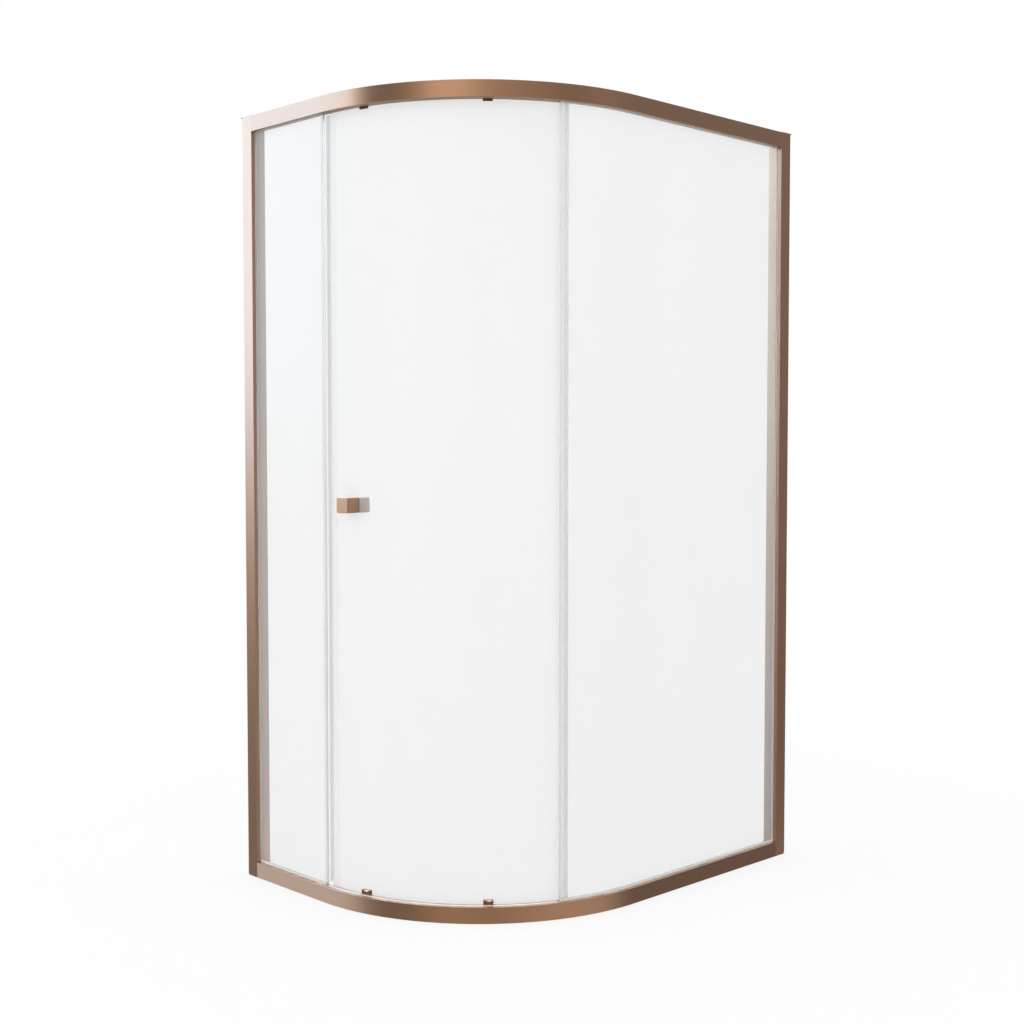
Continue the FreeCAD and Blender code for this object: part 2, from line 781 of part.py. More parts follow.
left_meeting_line = S.corner_radius + 2 * S.left_edge_gap
seal_bottom = S.rail_height + S.gasket_lip + S.seal_rail_gap
seal_top = rail_top_bottom - S.seal_rail_gap
fin_bottom = housing_top + S.fin_notch - S.foot_drop
fin_top = rail_top_bottom - S.fin_notch


def make_door_magnetic_seal():
    """Clip on the door's leading edge with the magnet that meets the left one."""
    gap, wall = S.seating_gap, S.seal_wall
    leg = S.door_magnet_leg
    clip_out, clip_in = door_outer + gap + wall, door_inner - leg_sag(leg, door_inner) - gap - wall
    meeting = -(left_meeting_line - S.corner_radius + leading_edge_drop)
    outline = [
        (clip_out, leg),
        (clip_out, meeting),
        (clip_in, meeting),
        (clip_in, leg),
        (clip_in + wall, leg),
        (clip_in + wall, -gap),
        (clip_out - wall, -gap),
        (clip_out - wall, leg),
    ]
    magnet_end = -gap - wall
    magnet_start = meeting + wall
    pocket_outline = [
        (clip_out - wall, magnet_start),
        (clip_out - wall, magnet_end),
        (clip_in + wall, magnet_end),
        (clip_in + wall, magnet_start),
    ]
    magnet = [
        (clip_out - wall - gap, magnet_start + gap),
        (clip_out - wall - gap, magnet_end - gap),
        (clip_in + wall + gap, magnet_end - gap),
        (clip_in + wall + gap, magnet_start + gap),
    ]
    pieces = []
    for name, outlines in (("door_magnetic_seal", [outline, pocket_outline]), ("door_magnet", [magnet])):
        body = new_corner_body(name, S.door_start_angle)
        sketch = new_sketch(body, "section", "XY_Plane", S.door_bottom)
        for corners in outlines:
            add_outline(sketch, corners)
        pad(body, sketch, door_glass_top - S.door_bottom)
        pieces.append(body)
    return pieces


# how far the door glass's leading edge lies from the start of the corner
leading_edge_drop = door_outer * S.door_start_angle * math.pi / 180


def leg_sag(leg, radius):
    """How far a curved pane falls away behind a straight leg that starts on it."""
    return leg * leg / (2 * radius)


def make_edge_seal(name, angle, outer, inner, trailing, fin_start, fin_end, low, high):
    """U-clip on an upright glass edge with a fin that brushes the other pane."""
    gap, wall = S.seating_gap, S.seal_wall
    toward = -1 if trailing else 1
    clip_out, clip_in = outer + gap + wall, inner - leg_sag(S.edge_leg, inner) - gap - wall
    base = -toward * (gap + wall)
    outline = [
        (clip_out, toward * S.edge_leg),
        (clip_out, base),
        (clip_in, base),
        (clip_in, toward * S.edge_leg),
        (clip_in + wall, toward * S.edge_leg),
        (clip_in + wall, -toward * gap),
        (clip_out - wall, -toward * gap),
        (clip_out - wall, toward * S.edge_leg),
    ]
    body = new_corner_body(name, angle)
    clip = new_sketch(body, "clip", "XY_Plane", low)
    add_outline(clip, outline)
    pad(body, clip, high - low)
    root, tip = toward * S.edge_leg * 0.5, toward * S.edge_leg * 0.75
    fin = new_sketch(body, "fin", "XY_Plane", fin_bottom)
    add_outline(fin, [(fin_start, root), (fin_end, tip), (fin_end, tip + wall), (fin_start, root + wall)])
    pad(body, fin, fin_top - fin_bottom)
    return body


def make_right_seals():
    """The seal on the bent fixed glass and the one on the door's trailing edge."""
    gap, wall = S.seating_gap, S.seal_wall
    fixed_fin_root = fixed_inner - 2 * gap - wall / 2
    fixed = make_edge_seal(
        "right_edge_seal",
        S.fixed_edge_angle,
        fixed_outer,
        fixed_inner,
        False,
        door_outer + S.fin_gap,
        fixed_fin_root,
        seal_bottom,
        seal_top,
    )
    door = make_edge_seal(
        "door_trailing_seal",
        S.door_end_angle,
        door_outer,
        door_inner,
        True,
        door_outer + gap + wall / 2,
        fixed_inner - S.fin_gap,
        S.door_bottom,
        door_glass_top,
    )
    return [fixed, door]


# ---------------------------------------------------------------- door glass and knobs
def make_door_glass():
    """Curved pane with holes for four roller units and the knob bolt."""
    body = new_corner_body("door_glass", S.door_start_angle)
    sketch = new_sketch(body, "section", "XZ_Plane")
    corners = [
        (door_inner, S.door_bottom),
        (door_outer, S.door_bottom),
        (door_outer, door_glass_top),
        (door_inner, door_glass_top),
    ]
    add_outline(sketch, corners)
    revolve(body, sketch, "V_Axis", S.door_end_angle - S.door_start_angle)
    holes = (
        ("top_left", S.left_unit_angle, top_axle_height),
        ("top_right", S.right_unit_angle, top_axle_height),
        ("bottom_left", S.left_unit_angle, S.boss_height),
        ("bottom_right", S.right_unit_angle, S.boss_height),
        ("knob", S.knob_angle, S.knob_height),
    )
    for name, angle, height in holes:
        radial_hole(body, name, height, S.glass_hole_radius, angle - S.door_start_angle)
    return body


def rounded_square(sketch, size, corner):
    """A square about the sketch's centre with rounded corners, driven by its size and corner radius."""
    half, straight = size / 2, size / 2 - corner
    turns = ((1, 1), (-1, 1), (-1, -1), (1, -1))
    spots = []
    for sx, sy in turns:
        first = (sx * half, sy * straight)
        second = (sx * straight, sy * half)
        spots.append((first, second) if sx * sy > 0 else (second, first))
    for i, (sx, sy) in enumerate(turns):
        centre = FreeCAD.Vector(sx * straight.value, sy * straight.value, 0)
        circle = Part.Circle(centre, FreeCAD.Vector(0, 0, 1), corner.value)
        start = math.pi / 2 * i
        sketch.addGeometry(Part.ArcOfCircle(circle, start, start + math.pi / 2))
    for i in range(4):
        end, begin = spots[i][1], spots[(i + 1) % 4][0]
        sketch.addGeometry(
            Part.LineSegment(
                FreeCAD.Vector(end[0].value, end[1].value, 0),
                FreeCAD.Vector(begin[0].value, begin[1].value, 0),
            )
        )
    for i in range(4):
        sketch.addConstraint(Sketcher.Constraint("Coincident", i, 2, 4 + i, 1))
        sketch.addConstraint(Sketcher.Constraint("Coincident", 4 + i, 2, (i + 1) % 4, 1))
        for (x, y), end in ((spots[i][0], 1), (spots[i][1], 2)):
            for kind, size_along in (("DistanceX", x), ("DistanceY", y)):
                value = size_along.value
                place = sketch.addConstraint(Sketcher.Constraint(kind, -1, 1, i, end, value))
                bind(sketch, f"Constraints[{place}]", size_along)
        place = sketch.addConstraint(Sketcher.Constraint("Radius", i, corner.value))
        bind(sketch, f"Constraints[{place}]", corner)


def face_edges(body, feature, coordinate):
    """Names of the edges that lie in the plane x = coordinate of a feature."""
    names = []
    for i, edge in enumerate(feature.Shape.Edges, start=1):
        box = edge.BoundBox
        if abs(box.XMin - coordinate) < 0.001 and abs(box.XMax - coordinate) < 0.001:
            names.append(f"Edge{i}")
    return names


def make_knob(name, start, bolt_depth, outward):
    """Square knob with rounded corners, a softened rim and a blind hole for the bolt."""
    body = new_corner_body(name, S.knob_angle, S.knob_height)
    outline = new_sketch(body, "face", "YZ_Plane", start)
    rounded_square(outline, S.knob_size, S.knob_corner)
    block = pad(body, outline, S.knob_reach, reverse=not outward)
    doc.recompute()
    rim = start.value + (S.knob_reach.value if outward else -S.knob_reach.value)
    rounding = body.newObject("PartDesign::Fillet", f"{name}_rim")
    rounding.Base = (block, face_edges(body, block, rim))
    bind(rounding, "Radius", S.knob_edge)
    hole = new_sketch(body, "bolt_hole", "YZ_Plane", start)
    add_circle(hole, 0, 0, S.knob_bolt_radius + S.axle_fit)
    pocket(body, hole, bolt_depth, reverse=outward)
    return body


def make_knobs():
    """Outer and inner knob, the bolt through the glass and the soft washers between them and the glass."""
    bolt_depth = S.knob_reach / 2
    outer_start = door_outer + S.knob_washer + S.seating_gap
    hollow = S.knob_size * S.knob_size / 8 / door_inner
    inner_start = door_inner - hollow - S.knob_washer - S.seating_gap
    outer = make_knob("outer_knob", outer_start, bolt_depth, True)
    inner = make_knob("inner_knob", inner_start, bolt_depth, False)
    slack = S.unit_gap
    stud = turned(
        "knob_stud",
        S.knob_angle,
        S.knob_height,
        [
            (S.corner_radius - outer_start - bolt_depth + slack, 0),
            (S.corner_radius - outer_start - bolt_depth + slack, S.knob_bolt_radius),
            (S.corner_radius - inner_start + bolt_depth - slack, S.knob_bolt_radius),
            (S.corner_radius - inner_start + bolt_depth - slack, 0),
        ],
    )
    washers = []
    for name, start in (
        ("outer_washer", outer_start - S.knob_washer),
        ("inner_washer", inner_start),
    ):
        body = new_corner_body(name, S.knob_angle, S.knob_height)
        sketch = new_sketch(body, "outline", "YZ_Plane", start)
        rounded_square(sketch, S.knob_size - 2 * S.seal_wall, S.knob_corner - S.seal_wall)
        add_circle(sketch, 0, 0, S.knob_bolt_radius + S.axle_fit)
        pad(body, sketch, S.knob_washer)
        washers.append(body)
    return [outer, inner, stud, group("knob_washers", washers)]


# ---------------------------------------------------------------- roller units
def wheel_profile():
    """Grooved wheel as (inward depth, radius), with a recess for the axle's head."""
    face = S.track_setback - S.wheel_width / 2
    back = S.track_setback + S.wheel_width / 2
    flare = S.bead_base / 2
    recess = face + S.axle_head + 3 * S.seating_gap
    bore = S.axle_radius + S.axle_fit
    return [
        (face, S.axle_head_radius + S.unit_gap),
        (face, S.wheel_radius),
        (S.track_setback - flare - S.unit_gap, S.wheel_radius),
        (S.track_setback - flare, S.rolling_radius),
        (S.track_setback + flare, S.rolling_radius),
        (S.track_setback + flare + S.unit_gap, S.wheel_radius),
        (back, S.wheel_radius),
        (back, bore),
        (recess, bore),
        (recess, S.axle_head_radius + S.unit_gap),
    ]


def axle_profile(end):
    """Headed axle as (inward depth, radius), ending at the given depth."""
    head = S.track_setback - S.wheel_width / 2 + S.seating_gap
    return [
        (head, 0),
        (head, S.axle_head_radius),
        (head + S.axle_head, S.axle_head_radius),
        (head + S.axle_head, S.axle_radius),
        (end, S.axle_radius),
        (end, 0),
    ]


def make_top_carrier(name, angle):
    """Plate between rail and glass whose forward foot hooks under the top rail."""
    body = new_corner_body(name, angle)
    foot_low = rail_top_bottom - S.foot_drop
    foot_high = foot_low + S.foot_height
    section = [
        (plate_back, foot_low),
        (unit_face + S.foot_depth, foot_low),
        (unit_face + S.foot_depth, foot_high),
        (unit_face, foot_high),
        (unit_face, top_axle_height + S.carrier_rise),
        (plate_back, top_axle_height + S.carrier_rise),
    ]
    sketch = new_sketch(body, "section", "XZ_Plane")
    add_outline(sketch, section)
    pad(body, sketch, S.carrier_width, middle=True)
    radial_hole(body, "axle_hole", top_axle_height, S.axle_radius + S.axle_fit)
    return body


def nut_start():
    """Inward depth where the clamping nuts begin, clear of the hollow side of the glass."""
    return S.door_setback + S.glass_thickness + S.nut_gap


def make_cap_nut(name, angle):
    """Blind nut on the end of a top axle, with a chamfered rim."""
    start = nut_start()
    bore = S.axle_radius + S.axle_fit
    end = start + S.nut_height
    return turned(
        name,
        angle,
        top_axle_height,
        [
            (start, bore),
            (start, S.nut_radius),
            (end - S.seal_wall, S.nut_radius),
            (end, S.nut_radius - S.seal_wall),
            (end, 0),
            (end - S.seal_wall, 0),
            (end - S.seal_wall, bore),
        ],
    )


def make_bush(name, angle, height, bore):
    """Nylon sleeve that keeps the bolt off the glass."""
    start = S.door_setback + S.seating_gap
    end = S.door_setback + S.glass_thickness - S.seating_gap
    rim = S.glass_hole_radius - 2 * S.seating_gap
    return turned(name, angle, height, [(start, bore), (start, rim), (end, rim), (end, bore)])


def make_bottom_carrier(name, angle):
    """Quick-release housing: a guide behind the rail, a bay with two horns above it, a boss through the glass."""
    body = new_corner_body(name, angle)
    half = S.unit_width / 2
    guide_back = plate_back + S.back_plate

    guide = new_sketch(body, "guide", "XY_Plane", housing_foot)
    add_outline(
        guide,
        [
            (plate_back, -half),
            (plate_back, half),
            (unit_face, half),
            (unit_face, bay_half),
            (guide_back, bay_half),
            (guide_back, -bay_half),
            (unit_face, -bay_half),
            (unit_face, -half),
        ],
    )
    pad(body, guide, housing_top - housing_foot)

    horns = new_sketch(body, "horns", "XY_Plane", housing_bottom)
    add_outline(
        horns,
        [
            (unit_face, -half),
            (housing_face, -half),
            (housing_face, half),
            (unit_face, half),
            (unit_face, bay_half),
            (bay_face, bay_half),
            (bay_face, -bay_half),
            (unit_face, -bay_half),
        ],
    )
    pad(body, horns, S.housing_height)

    floor = new_sketch(body, "floor", "XY_Plane", housing_bottom)
    floor_back = slider_face + S.button_fit
    add_outline(
        floor,
        [
            (floor_back, -bay_half),
            (bay_face, -bay_half),
            (bay_face, bay_half),
            (floor_back, bay_half),
        ],
    )
    pad(body, floor, S.bay_floor)

    window = new_sketch(body, "window", "YZ_Plane", unit_face)
    add_circle(window, 0, housing_top + S.window_radius - S.window_depth, S.window_radius)
    pocket(body, window, S.housing_depth, reverse=True)

    boss = new_sketch(body, "boss", "YZ_Plane", plate_back)
    add_circle(boss, 0, S.boss_height, S.boss_radius)
    pad(body, boss, S.glass_thickness, reverse=True)
    bore = new_sketch(body, "bore", "YZ_Plane", plate_back - S.glass_thickness)
    add_circle(bore, 0, S.boss_height, S.screw_hole_radius)
    pocket(body, bore, S.glass_thickness - S.seal_wall, reverse=True)
    return body


def cut_scoop(body, centre_x):
    """Spherical finger scoop that falls towards the front of the button."""
    ratio = S.scoop_offset.value / S.scoop_radius.value
    rise = S.scoop_radius * math.sqrt(1 - ratio * ratio)
    centre_z = button_top - S.scoop_depth + rise
    sketch = new_sketch(body, "scoop", "XZ_Plane")
    centre = FreeCAD.Vector(centre_x.value, centre_z.value, 0)
    circle = Part.Circle(centre, FreeCAD.Vector(0, 0, 1), S.scoop_radius.value)
    arc = sketch.addGeometry(Part.ArcOfCircle(circle, -math.pi / 2, math.pi / 2))
    top = centre + FreeCAD.Vector(0, S.scoop_radius.value, 0)
    bottom = centre - FreeCAD.Vector(0, S.scoop_radius.value, 0)
    chord = sketch.addGeometry(Part.LineSegment(top, bottom))
    sketch.addConstraint(Sketcher.Constraint("Coincident", arc, 2, chord, 1))
    sketch.addConstraint(Sketcher.Constraint("Coincident", chord, 2, arc, 1))
    sketch.addConstraint(Sketcher.Constraint("Vertical", chord))
    for kind, size in (("DistanceX", centre_x), ("DistanceY", centre_z)):
        place = sketch.addConstraint(Sketcher.Constraint(kind, -1, 1, arc, 3, size.value))
        bind(sketch, f"Constraints[{place}]", size)
    place = sketch.addConstraint(Sketcher.Constraint("Radius", arc, S.scoop_radius.value))
    bind(sketch, f"Constraints[{place}]", S.scoop_radius)
    sketch.addConstraint(Sketcher.Constraint("PointOnObject", arc, 3, chord))
    axis = sketch.addGeometry(Part.LineSegment(bottom, top), True)
    sketch.addConstraint(Sketcher.Constraint("Coincident", axis, 1, chord, 2))
    sketch.addConstraint(Sketcher.Constraint("Coincident", axis, 2, chord, 1))
    groove = body.newObject("PartDesign::Groove", f"{sketch.Name}_groove")
    groove.Profile = sketch
    groove.ReferenceAxis = (sketch, ["Axis0"])
    groove.Angle = 360


def make_release_button(name, angle):
    """Press-down slider: a scooped head in the housing's bay and a plate that carries the wheel's axle."""
    body = new_corner_body(name, angle)
    plate_low = bottom_axle_height - S.slider_foot
    plate = new_sketch(body, "plate", "XY_Plane", plate_low)
    add_outline(
        plate,
        [
            (slider_back, -button_half),
            (slider_face, -button_half),
            (slider_face, button_half),
            (slider_back, button_half),
        ],
    )
    pad(body, plate, button_top - plate_low)
    head = new_sketch(body, "head", "XY_Plane", button_bottom)
    head_face = bay_face - S.button_fit
    add_outline(
        head,
        [
            (slider_face, -button_half),
            (head_face, -button_half),
            (head_face, button_half),
            (slider_face, button_half),
        ],
    )
    pad(body, head, S.button_height)
    cut_scoop(body, head_face + S.scoop_offset)
    seat = new_sketch(body, "spring_seat", "XY_Plane", button_bottom)
    add_circle(seat, spring_line, 0, S.spring_radius + S.spring_wire + 2 * S.seating_gap)
    pocket(body, seat, S.spring_recess, reverse=True)
    radial_hole(body, "axle_hole", bottom_axle_height, S.axle_radius + S.axle_fit)
    return body


# the release spring stands midway between the slider and the front of the bay
spring_line = (slider_face + bay_face - S.button_fit) / 2


def make_clamp_screw(name, angle):
    """Broad-headed screw that draws the housing's boss against the glass from inside."""
    start = nut_start()
    end = start + S.nut_height
    tip = start - S.glass_thickness + 3 * S.seal_wall
    return turned(
        name,
        angle,
        S.boss_height,
        [
            (tip, 0),
            (tip, S.screw_radius),
            (start, S.screw_radius),
            (start, S.nut_radius),
            (end - S.seal_wall, S.nut_radius),
            (end, S.nut_radius - S.seal_wall),
            (end, 0),
        ],
    )


def make_spring(name, angle):
    """Compression spring under the button, wound as quarter-turn arcs that climb evenly."""
    wire = S.spring_wire.value
    radius = S.spring_radius.value
    low = bay_floor_top.value + wire + S.seating_gap.value
    high = button_bottom.value + S.spring_recess.value - wire - S.seating_gap.value
    turns = 2
    steps = turns * 4
    climb = (high - low) / steps

    def point(step):
        turn = math.pi / 2 * step
        return FreeCAD.Vector(radius * math.cos(turn), radius * math.sin(turn), low + climb * step)

    arcs = [Part.Arc(point(i), point(i + 0.5), point(i + 1)).toShape() for i in range(steps)]
    path = Part.Wire(arcs)
    start = path.Edges[0]
    first = start.FirstParameter
    section = Part.Wire([Part.makeCircle(wire, start.valueAt(first), start.tangentAt(first))])
    spring = doc.addObject("Part::Feature", name)
    spring.Label = name
    spring.Shape = path.makePipeShell([section], True, False)
    centre = FreeCAD.Vector(
        S.corner_radius.value - S.frame_width.value / 2,
        S.corner_radius.value - S.frame_depth.value / 2,
        0,
    )
    outward = FreeCAD.Rotation(FreeCAD.Vector(0, 0, 1), 180 + angle.value)
    place = centre + outward.multVec(FreeCAD.Vector(spring_line.value, 0, 0))
    spring.Placement = FreeCAD.Placement(place, outward)
    return spring


def make_roller_units():
    """Four roller units: two that carry the door on the top rail, two quick-release ones below."""
    nodes, nuts, screws, bushes = [], [], [], []
    axle_end = nut_start() + S.nut_height - 2 * S.seal_wall
    slider_end = S.corner_radius - slider_back - S.seating_gap
    for side, angle in (("left", S.left_unit_angle), ("right", S.right_unit_angle)):
        nodes.append(make_top_carrier(f"top_carrier_{side}", angle))
        nodes.append(turned(f"top_axle_{side}", angle, top_axle_height, axle_profile(axle_end)))
        nodes.append(turned(f"top_wheel_{side}", angle, top_axle_height, wheel_profile()))
        nodes.append(make_bottom_carrier(f"bottom_carrier_{side}", angle))
        nodes.append(make_release_button(f"release_button_{side}", angle))
        bottom_axle = axle_profile(slider_end)
        nodes.append(turned(f"bottom_axle_{side}", angle, bottom_axle_height, bottom_axle))
        nodes.append(turned(f"bottom_wheel_{side}", angle, bottom_axle_height, wheel_profile()))
        nodes.append(make_spring(f"release_spring_{side}", angle))
        nuts.append(make_cap_nut(f"cap_nut_{side}", angle))
        screws.append(make_clamp_screw(f"clamp_screw_{side}", angle))
        axle_bore = S.axle_radius + S.seating_gap
        bushes.append(make_bush(f"top_bush_{side}", angle, top_axle_height, axle_bore))
        boss_bore = S.boss_radius + S.seating_gap
        bushes.append(make_bush(f"bottom_bush_{side}", angle, S.boss_height, boss_bore))
    knob_bore = S.knob_bolt_radius + S.seating_gap
    bushes.append(make_bush("knob_bush", S.knob_angle, S.knob_height, knob_bore))
    nodes.append(group("top_cap_nuts", nuts))
    nodes.append(group("bottom_clamp_screws", screws))
    nodes.append(group("glass_bushes", bushes))
    return nodes


# ---------------------------------------------------------------- fixings and stops
def rod(name, radius, length, base, turn_axis, turn):
    """A plain cylinder with a driven place; turn lays its axis down."""
    cylinder = doc.addObject("Part::Cylinder", name)
    cylinder.Placement.Rotation = FreeCAD.Rotation(FreeCAD.Vector(*turn_axis), turn)
    bind(cylinder, "Radius", radius)
    bind(cylinder, "Height", length)
    for letter, size in zip("xyz", base):
        bind(cylinder, f"Placement.Base.{letter}", size)
    return cylinder


def plan_to_row(x, y):
    """Plan point in the object's own axes."""
    return x - S.frame_width / 2, y - S.frame_depth / 2


# directions in which the fixings point, as the turn (axis, degrees) that lays an upright cylinder along them
ALONG_Y_BACK = ((1, 0, 0), 90)
ALONG_X_BACK = ((0, 1, 0), -90)
ALONG_X = ((0, 1, 0), 90)
ALONG_Y = ((1, 0, 0), -90)
OPPOSITE = {ALONG_Y_BACK: ALONG_Y, ALONG_X_BACK: ALONG_X}


def screw(name, side, along, inward, height, length, pointing):
    """Pan-head screw: the given point is the underside of its head."""
    x, y = plan_to_row(*side(as_size(along), as_size(inward)))
    shank = rod(f"{name}_shank", S.screw_radius, length, (x, y, height), *pointing)
    head_turn = OPPOSITE[pointing]
    head = rod(f"{name}_head", S.screw_head_radius, S.screw_head, (x, y, height), *head_turn)
    whole = doc.addObject("Part::Fuse", name)
    whole.Base = head
    whole.Tool = shank
    return whole


def make_rail_screws():
    """Screws through the posts' front webs into the rails' screw ports."""
    screws = []
    head_seat = post_front - S.profile_wall
    length = S.profile_wall + S.rail_screw_length
    for name, side in SIDES:
        pointing = ALONG_Y_BACK if side is on_left else ALONG_X_BACK
        for i, height in enumerate(PORT_HEIGHTS):
            label = f"{name}_rail_screw_{i}"
            screws.append(screw(label, side, head_seat, S.port_inset, height, length, pointing))
    return group("rail_screws", screws)


def make_post_screws():
    """Screws that fix the posts to the wall channels from inside, each under a snap cover."""
    screws, covers = [], []
    along = S.post_wall_gap + S.guide_rib_width / 2
    length = S.post_depth - channel_inner + 2 * S.web_wall
    for name, side in SIDES:
        pointing = ALONG_X_BACK if side is on_left else ALONG_Y_BACK
        outwards = ALONG_X if side is on_left else ALONG_Y
        for i, height in enumerate(POST_SCREW_HEIGHTS):
            label = f"{name}_post_screw_{i}"
            screws.append(screw(label, side, along, S.post_depth, height, length, pointing))
            place = (*plan_to_row(*side(along, S.post_depth)), height)
            shell = rod(f"{label}_shell", S.cover_radius, S.cover_height, place, *outwards)
            depth = S.cover_height - S.cover_wall
            hollow_radius = S.cover_radius - S.cover_wall
            hollow = rod(f"{label}_hollow", hollow_radius, depth, place, *outwards)
            cover = doc.addObject("Part::Cut", f"{label}_cover")
            cover.Base = shell
            cover.Tool = hollow
            covers.append(cover)
    return [group("post_screws", screws), group("post_screw_covers", covers)]


def make_stop(name, angle, screw_name):
    """Door stop that straddles the track bead, with its clamping screw against the rail's middle wall."""
    body = new_corner_body(name, angle)
    low = rail_top_bottom + S.web_wall + S.unit_gap
    high = low + S.stop_height
    outer = S.corner_radius - middle_wall_end - S.unit_gap
    inner = rail_inner + S.unit_gap / 2
    slot_half = S.bead_base / 2 + S.unit_gap
    slot_top = rail_top_bottom + S.web_wall + S.bead_height + S.unit_gap
    sketch = new_sketch(body, "section", "XZ_Plane")
    add_outline(
        sketch,
        [
            (inner, low),
            (wheel_middle - slot_half, low),
            (wheel_middle - slot_half, slot_top),
            (wheel_middle + slot_half, slot_top),
            (wheel_middle + slot_half, low),
            (outer, low),
            (outer, high),
            (inner, high),
        ],
    )
    pad(body, sketch, S.stop_length, middle=True)
    screw_height = (slot_top + high) / 2
    radial_hole(body, "screw_hole", screw_height, S.stop_screw_radius + S.seating_gap)
    start = middle_wall_end + S.seating_gap
    profile = [
        (start, 0),
        (start, S.stop_screw_radius),
        (S.rail_depth, S.stop_screw_radius),
        (S.rail_depth, 0),
    ]
    return body, turned(screw_name, angle, screw_height, profile)


def make_stops():
    """Stops at both ends of the door's travel, just clear of the top wheels' rims."""
    reach = (S.wheel_radius + S.stop_length / 2 + S.unit_gap) / wheel_middle * 180 / math.pi
    closed_angle = S.left_unit_angle - reach
    open_angle = S.right_unit_angle + S.door_travel + reach
    closed, closed_screw = make_stop("closed_stop", closed_angle, "closed_stop_screw")
    opened, open_screw = make_stop("open_stop", open_angle, "open_stop_screw")
    return [closed, opened, group("stop_screws", [closed_screw, open_screw])]


# ---------------------------------------------------------------- the whole enclosure
def make_enclosure():
    """All sub-parts, in the order in which the enclosure goes together."""
    nodes = []
    for name, side in SIDES:
        nodes.append(make_wall_channel(name, side))
        nodes.append(make_post(name, side))
        nodes.append(make_post_cap(name, side))
        nodes.append(make_post_gasket(name, side))
    nodes += [make_top_rail(), make_bottom_rail()]
    nodes.append(make_infill_strip("top_infill_strip", rail_top_bottom, rail_top_bottom + S.gasket_lip))
    nodes.append(make_infill_strip("bottom_infill_strip", S.rail_height - S.gasket_lip, S.rail_height))
    nodes += [make_left_fixed_glass(), make_right_fixed_glass()]
    groove_floor = S.rail_height - S.groove_depth_bottom + S.seating_gap
    nodes += make_rail_gaskets("bottom", groove_floor, S.rail_height + S.gasket_lip)
    groove_roof = rail_top_bottom + S.groove_depth_top - S.seating_gap
    nodes += make_rail_gaskets("top", groove_roof, rail_top_bottom)
    nodes += make_left_magnetic_seal()
    nodes += make_door_magnetic_seal()
    nodes += make_right_seals()
    nodes.append(make_door_glass())
    nodes += make_knobs()
    nodes += make_roller_units()
    nodes.append(make_rail_screws())
    nodes += make_post_screws()
    nodes += make_stops()
    return nodes


def check_and_export(nodes):
    """Refuses a failed feature or an invalid solid, then writes one file for each sub-part."""
    for thing in doc.Objects:
        if "Invalid" in thing.State or "Error" in thing.State:
            raise RuntimeError(f"{thing.Name} failed to compute")
    for node in nodes:
        if node.Shape.isNull() or not node.Shape.isValid():
            raise RuntimeError(f"{node.Label} has no valid shape")
        if not node.Shape.Solids:
            raise RuntimeError(f"{node.Label} holds no solid")
    os.makedirs("parts", exist_ok=True)
    for node in nodes:
        node.Shape.exportStep(f"parts/{node.Label}.step")
        print(f"{node.Label}: {len(node.Shape.Solids)} solid(s), {node.Shape.Volume / 1000:.2f} cm3")


enclosure = make_enclosure()
doc.recompute()
check_and_export(enclosure)
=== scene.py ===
"""Looks, light and camera for a quadrant shower enclosure in brushed rose-gold aluminium and clear glass."""

import json
import math

import bpy
from mathutils import Matrix, Vector

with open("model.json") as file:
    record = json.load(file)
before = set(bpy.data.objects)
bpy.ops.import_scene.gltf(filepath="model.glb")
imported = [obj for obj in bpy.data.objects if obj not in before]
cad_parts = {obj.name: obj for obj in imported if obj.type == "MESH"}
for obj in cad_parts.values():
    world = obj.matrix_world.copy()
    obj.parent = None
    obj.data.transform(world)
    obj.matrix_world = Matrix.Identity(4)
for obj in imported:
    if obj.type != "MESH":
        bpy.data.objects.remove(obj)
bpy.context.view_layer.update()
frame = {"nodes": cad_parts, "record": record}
nodes = frame["nodes"]

# rose-gold anodised aluminium, linear colours
ROSE_GOLD = (0.47, 0.28, 0.178)
ROSE_GOLD_KNOB = (0.49, 0.285, 0.16)
ROSE_GOLD_FITTING = (0.27, 0.135, 0.07)

# how finely a surface's grain varies along x, y and z: a small number draws it out along that axis
ALONG_POSTS = (500.0, 500.0, 2.0)
ALONG_RAILS = (3.0, 3.0, 500.0)
ALONG_SEALS = (60.0, 60.0, 8.0)
AROUND_KNOBS = (60.0, 60.0, 600.0)
ALL_OVER = (250.0, 250.0, 250.0)
TURNED = (400.0, 400.0, 400.0)
GLASS_VEIL = (3.0, 3.0, 0.6)
# values of the noise between which a surface goes from its darker to its lighter tone
GRAIN_SPAN = (0.3, 0.7)
VEIL_SPAN = (0.35, 0.65)
FULL_SPAN = (0.0, 1.0)

# radii in metres at which shading rounds the edges
METAL_EDGE = 0.0006
# SEAL_LINE also sets how wide the painted shade lines at the door seal's cut edges are
SEAL_LINE = 0.0009
PLASTIC_EDGE = 0.0003
STEEL_EDGE = 0.0002
EDGE_SAMPLES = 6
BRUSH_DEPTH = 0.0002
BRUSH_BUMP = 0.05

# so low that light isn't caught between the faces, which would blacken the cut edges of the panes
GLASS_IOR = 1.15
# thin clear plastic bends light too little to show it
THIN_IOR = 1.01

FLOOR_RADIUS = 14.0
FLOOR_CORNERS = 96
# the floor lies this far below the rail's underside, so that their faces don't coincide
FLOOR_GAP = 0.0005
FLOOR_GREY = 0.86
# share of plain white in what the camera sees of the floor
FLOOR_WHITENESS = 0.8
# distances from the middle of the floor between which it fades into the background
FLOOR_FADE = (0.9, 2.4)

# the colours of the light in the studio
COOL = (0.74, 1.13, 1.58)
CLEAR = (0.92, 1.0, 1.10)
NEUTRAL = (1.0, 0.95, 0.92)
WARM = (1.0, 0.86, 0.72)
WOOD = (1.0, 0.78, 0.54)
EVERY_HEIGHT = (-95, 1), (95, 1)
